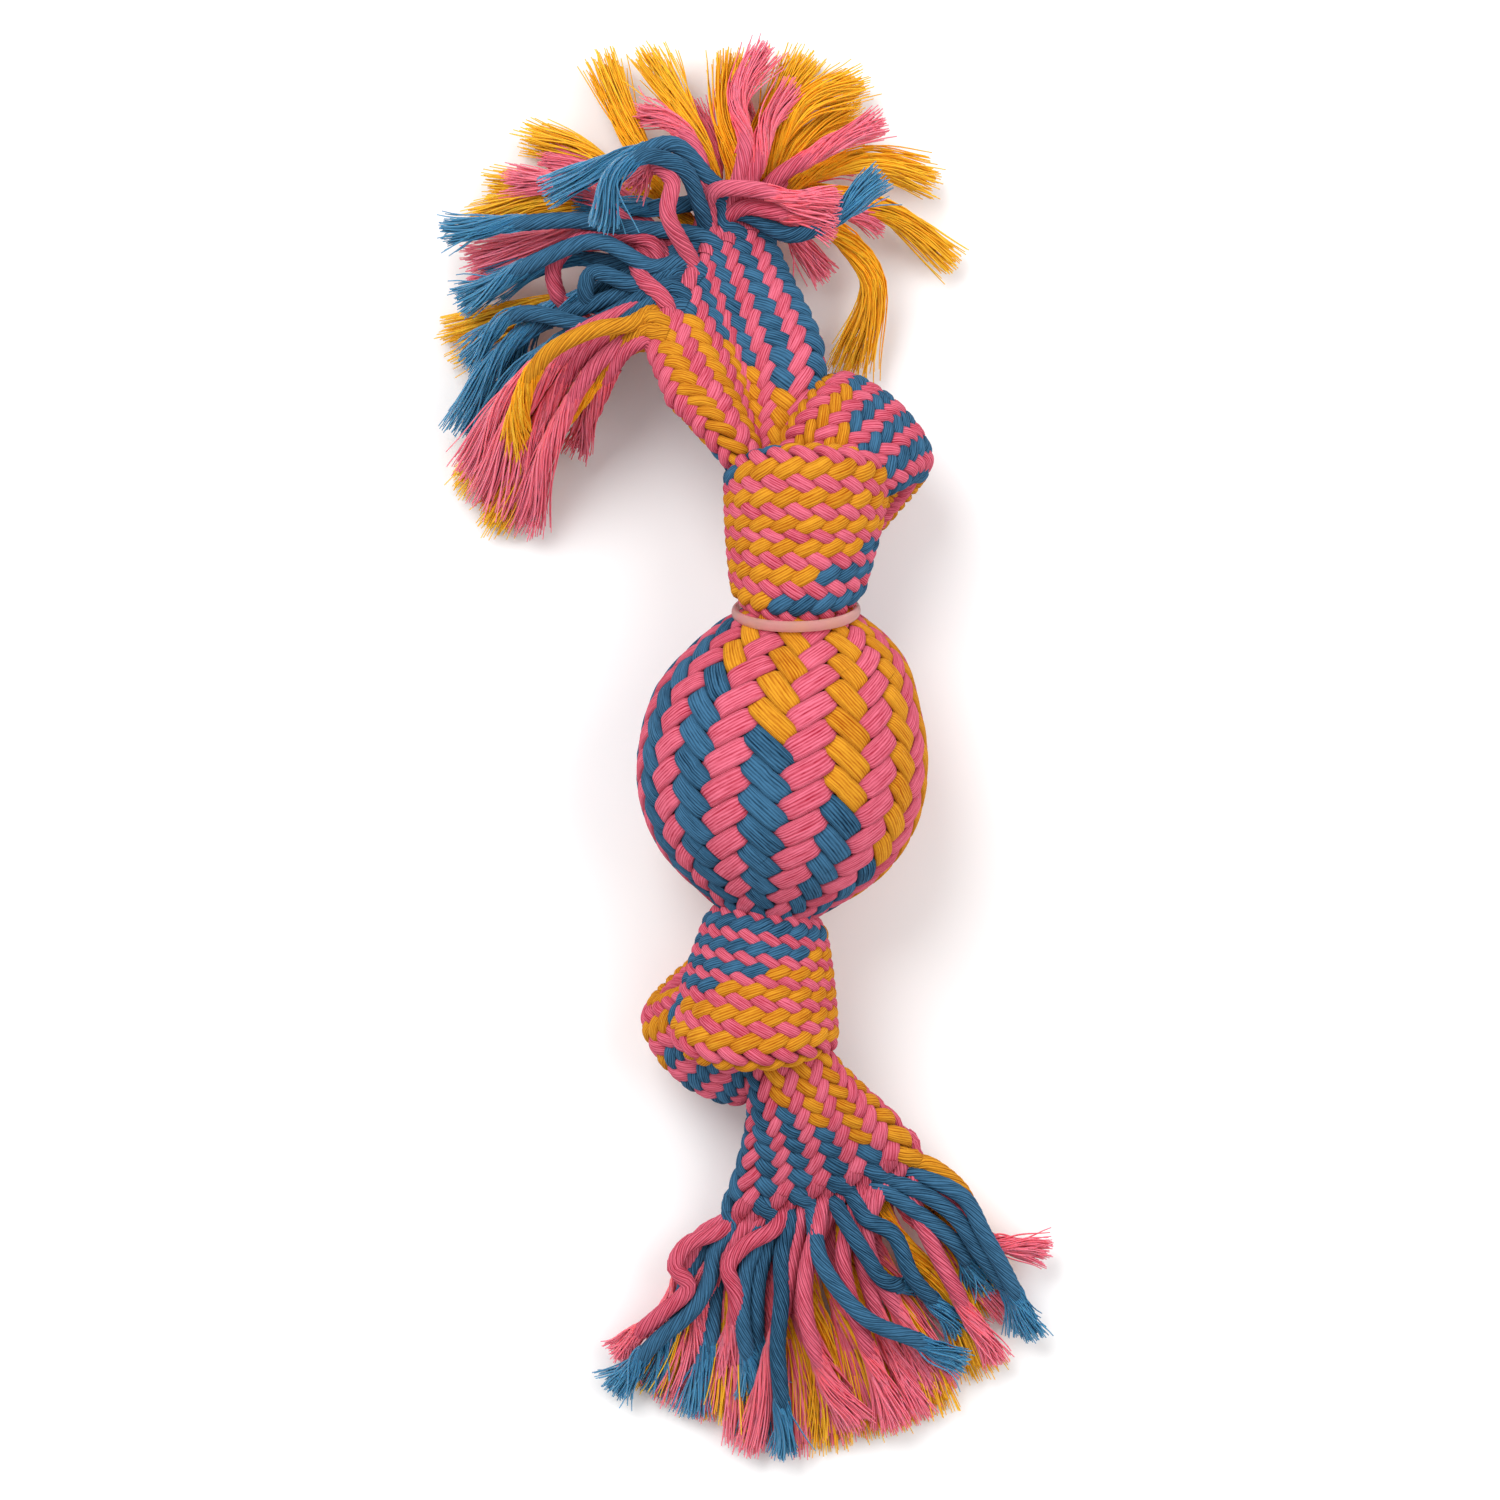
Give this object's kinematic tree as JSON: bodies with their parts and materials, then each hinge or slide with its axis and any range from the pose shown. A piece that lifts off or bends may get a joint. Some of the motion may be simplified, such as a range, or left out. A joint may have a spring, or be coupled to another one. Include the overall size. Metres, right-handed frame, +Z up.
{
  "type": "rope dog toy",
  "caption": "Braided cotton rope toy for dogs: a ball held inside the braid between two knots, with a frayed tassel at each end.",
  "frame": {"origin": "middle of the flat under the ball, on the floor that the toy lies on", "axes": "+Y along the toy's length towards the banded upper knot, +Z up from the floor, +X to the right in the view from above"},
  "size_m": [0.1515, 0.3575, 0.0717],
  "materials": {
    "braid_cotton": "woven cotton, matte",
    "pink_cotton": "twisted cotton, matte",
    "blue_cotton": "twisted cotton, matte",
    "yellow_cotton": "twisted cotton, matte",
    "clear_band": "frosted clear, soft",
    "rubber_core": "matte rubber"
  },
  "bodies": {
    "ball": {"ball_core": "rubber_core", "ball_cover": "braid_cotton", "upper_neck": "braid_cotton", "lower_neck": "braid_cotton", "neck_band": "clear_band"},
    "upper_knot": {"upper_knot_cuff": "braid_cotton", "upper_knot_core": "braid_cotton", "upper_knot_bight": "braid_cotton", "upper_leg_root": "braid_cotton"},
    "upper_leg": {"upper_leg": "braid_cotton", "upper_front_strand_1": "yellow_cotton", "upper_front_strand_2": "pink_cotton", "upper_front_strand_3": "blue_cotton", "upper_front_strand_4": "blue_cotton", "upper_front_strand_5": "pink_cotton", "upper_front_strand_6": "blue_cotton", "upper_front_strand_7": "pink_cotton", "upper_front_strand_8": "blue_cotton", "upper_front_strand_9": "pink_cotton", "upper_back_strand_1": "pink_cotton", "upper_back_strand_2": "yellow_cotton", "upper_back_strand_3": "pink_cotton", "upper_back_strand_4": "yellow_cotton", "upper_back_strand_5": "yellow_cotton", "upper_back_strand_6": "pink_cotton", "upper_back_strand_7": "yellow_cotton", "upper_back_strand_8": "yellow_cotton", "upper_back_strand_9": "pink_cotton"},
    "lower_knot": {"lower_knot_cuff": "braid_cotton", "lower_knot_core": "braid_cotton", "lower_knot_bight": "braid_cotton", "lower_leg_root": "braid_cotton"},
    "lower_leg": {"lower_leg": "braid_cotton", "lower_front_strand_1": "pink_cotton", "lower_front_strand_2": "blue_cotton", "lower_front_strand_3": "pink_cotton", "lower_front_strand_4": "blue_cotton", "lower_front_strand_5": "pink_cotton", "lower_front_strand_6": "pink_cotton", "lower_front_strand_7": "blue_cotton", "lower_front_strand_8": "pink_cotton", "lower_front_strand_9": "blue_cotton", "lower_front_strand_10": "blue_cotton", "lower_back_strand_1": "yellow_cotton", "lower_back_strand_2": "pink_cotton", "lower_back_strand_3": "yellow_cotton", "lower_back_strand_4": "pink_cotton", "lower_back_strand_5": "yellow_cotton", "lower_back_strand_6": "yellow_cotton", "lower_back_strand_7": "pink_cotton", "lower_back_strand_8": "yellow_cotton", "lower_back_strand_9": "pink_cotton", "lower_back_strand_10": "pink_cotton"}
  },
  "joints": [
    {"name": "upper_neck_bend", "type": "hinge", "parent": "ball", "child": "upper_knot", "pos_m": [0.00321, 0.03667, 0.03867], "axis": [0, 0, 1], "range_deg": [-12, 12], "deforming": ["upper_neck", "neck_band"]},
    {"name": "upper_leg_bend", "type": "hinge", "parent": "upper_knot", "child": "upper_leg", "pos_m": [-0.00049, 0.08449, 0.04281], "axis": [0, 0, 1], "range_deg": [-8, 20], "deforming": ["upper_leg_root"]},
    {"name": "lower_neck_bend", "type": "hinge", "parent": "ball", "child": "lower_knot", "pos_m": [-0.00371, -0.0353, 0.03345], "axis": [0, 0, 1], "range_deg": [-12, 12], "deforming": ["lower_neck"]},
    {"name": "lower_leg_bend", "type": "hinge", "parent": "lower_knot", "child": "lower_leg", "pos_m": [0.00026, -0.07738, 0.03111], "axis": [0, 0, 1], "range_deg": [-8, 20], "deforming": ["lower_leg_root"]}
  ]
}
